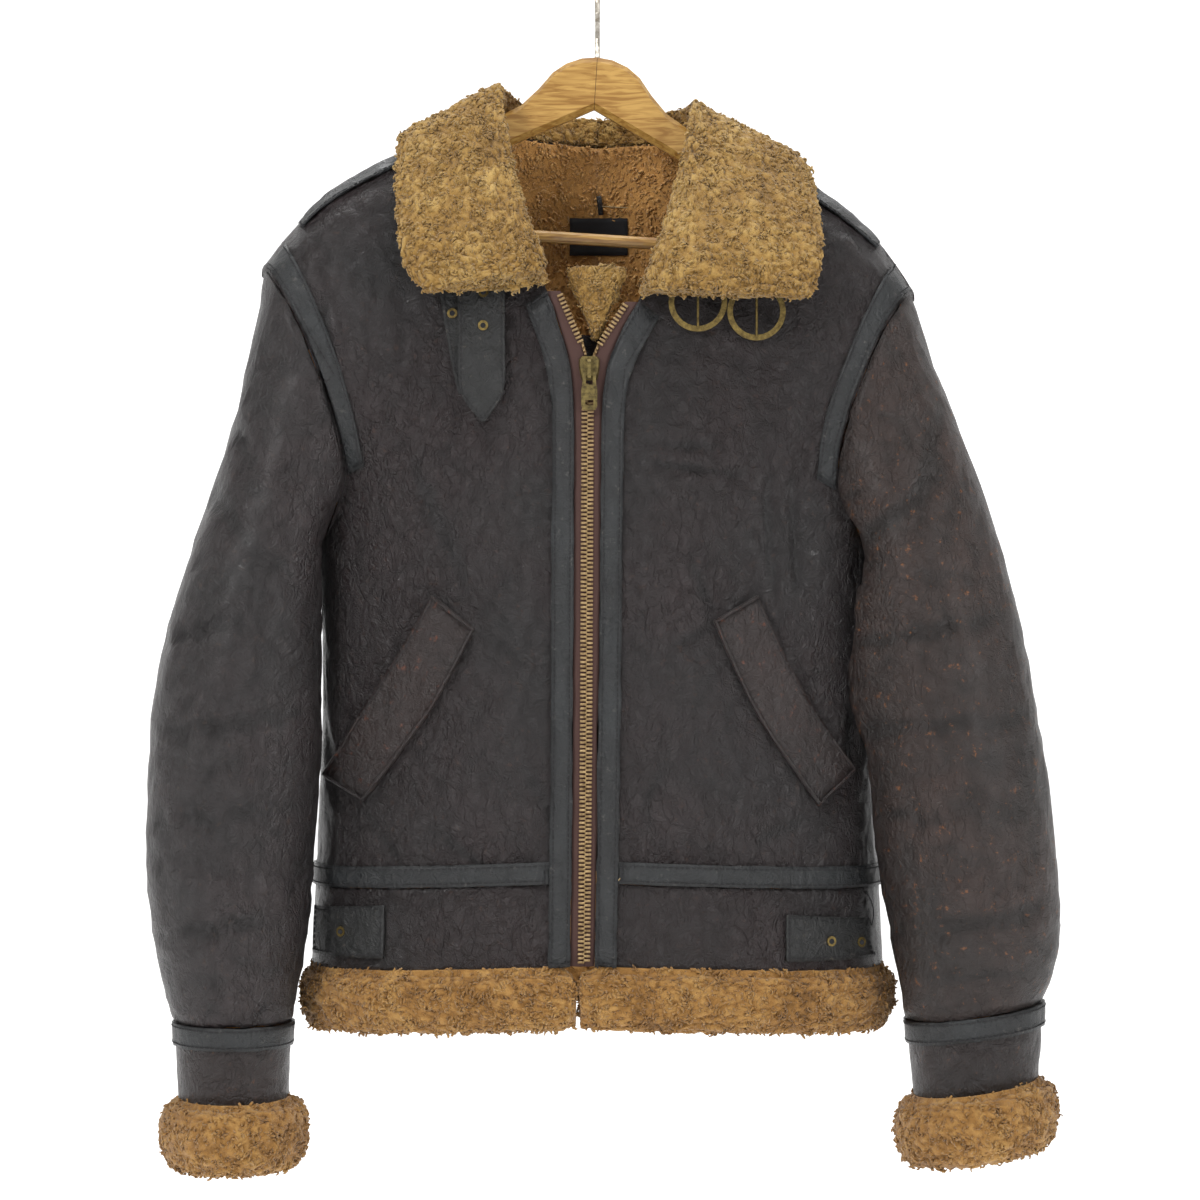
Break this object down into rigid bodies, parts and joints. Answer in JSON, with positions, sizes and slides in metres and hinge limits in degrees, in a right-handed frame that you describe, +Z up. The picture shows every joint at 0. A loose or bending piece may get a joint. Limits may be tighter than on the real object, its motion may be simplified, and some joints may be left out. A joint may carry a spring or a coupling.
{
  "type": "sheepskin flying jacket on a wooden hanger",
  "caption": "Brown sheepskin flying jacket with a wide wool collar, wool hem and cuffs, and an open zip, hanging on a wooden hanger.",
  "frame": {"origin": "the inner crown of the hanger's hook, where it rests on a rail", "axes": "+Z up, +X to the right as seen from the front, +Y towards the back: the jacket's front faces -Y"},
  "size_m": [0.6976, 0.2182, 0.922],
  "materials": {
    "leather": "worn brown leather with a low sheen",
    "tape": "blue-grey leather, matt and scuffed",
    "fur": "long golden sheep's wool",
    "zip_tape": "woven red-brown tape",
    "brass": "aged, dull",
    "wood": "clear varnish",
    "wire": "worn bright wire",
    "label": "black cloth"
  },
  "bodies": {
    "root": {"armhole_tape_l": "tape", "armhole_tape_r": "tape", "back_l": "leather", "back_r": "leather", "buckle_tab_a": "tape", "buckle_tab_b": "tape", "collar_l": "fur", "collar_r": "fur", "collar_strap_behind": "tape", "collar_strap_front": "tape", "cuff_fur_l": "fur", "cuff_fur_r": "fur", "cuff_l": "leather", "cuff_r": "leather", "cuff_tape_l": "tape", "cuff_tape_r": "tape", "eyelet_1": "brass", "eyelet_2": "brass", "eyelet_3": "brass", "eyelet_4": "brass", "eyelet_5": "brass", "eyelet_6": "brass", "front_l": "leather", "front_r": "leather", "hanger_bar": "wood", "hanger_hook": "wire", "hanger_yoke_l": "wood", "hanger_yoke_r": "wood", "hem_fur_back": "fur", "hem_fur_l": "fur", "hem_fur_r": "fur", "neck_label": "label", "placket_tape_l": "tape", "placket_tape_r": "tape", "pocket_welt_l": "leather", "pocket_welt_r": "leather", "shoulder_tape_l": "tape", "shoulder_tape_r": "tape", "side_strap_l": "tape", "side_strap_r": "tape", "sleeve_l": "leather", "sleeve_r": "leather", "waist_tape_back": "tape", "waist_tape_l": "tape", "waist_tape_r": "tape", "waistband_back": "leather", "waistband_front_l": "leather", "waistband_front_r": "leather", "wind_flap": "leather", "wind_flap_fur": "fur", "zip_slider": "brass", "zip_tape_l": "zip_tape", "zip_tape_r": "zip_tape"},
    "pull": {"zip_pull": "brass"},
    "ring_a": {"ring_buckle_a": "brass"},
    "ring_b": {"ring_buckle_b": "brass"},
    "tongue_a": {"prong_a": "brass"},
    "tongue_b": {"prong_b": "brass"}
  },
  "joints": [
    {"name": "pull_hinge", "type": "hinge", "parent": "root", "child": "pull", "pos_m": [-0.00602, -0.09437, -0.317], "axis": [-1, 0, 0], "range_deg": [0, 120]},
    {"name": "ring_a_hinge", "type": "hinge", "parent": "root", "child": "ring_a", "pos_m": [0.0753, -0.08992, -0.2431], "axis": [-1, 0, 0], "range_deg": [0, 12]},
    {"name": "ring_b_hinge", "type": "hinge", "parent": "root", "child": "ring_b", "pos_m": [0.1193, -0.08801, -0.2496], "axis": [-1, 0, 0], "range_deg": [0, 12]},
    {"name": "tongue_a_hinge", "type": "hinge", "parent": "ring_a", "child": "tongue_a", "pos_m": [0.0753, -0.08992, -0.2431], "axis": [-1, 0, 0], "range_deg": [0, 8]},
    {"name": "tongue_b_hinge", "type": "hinge", "parent": "ring_b", "child": "tongue_b", "pos_m": [0.1193, -0.08801, -0.2496], "axis": [-1, 0, 0], "range_deg": [0, 8]}
  ]
}
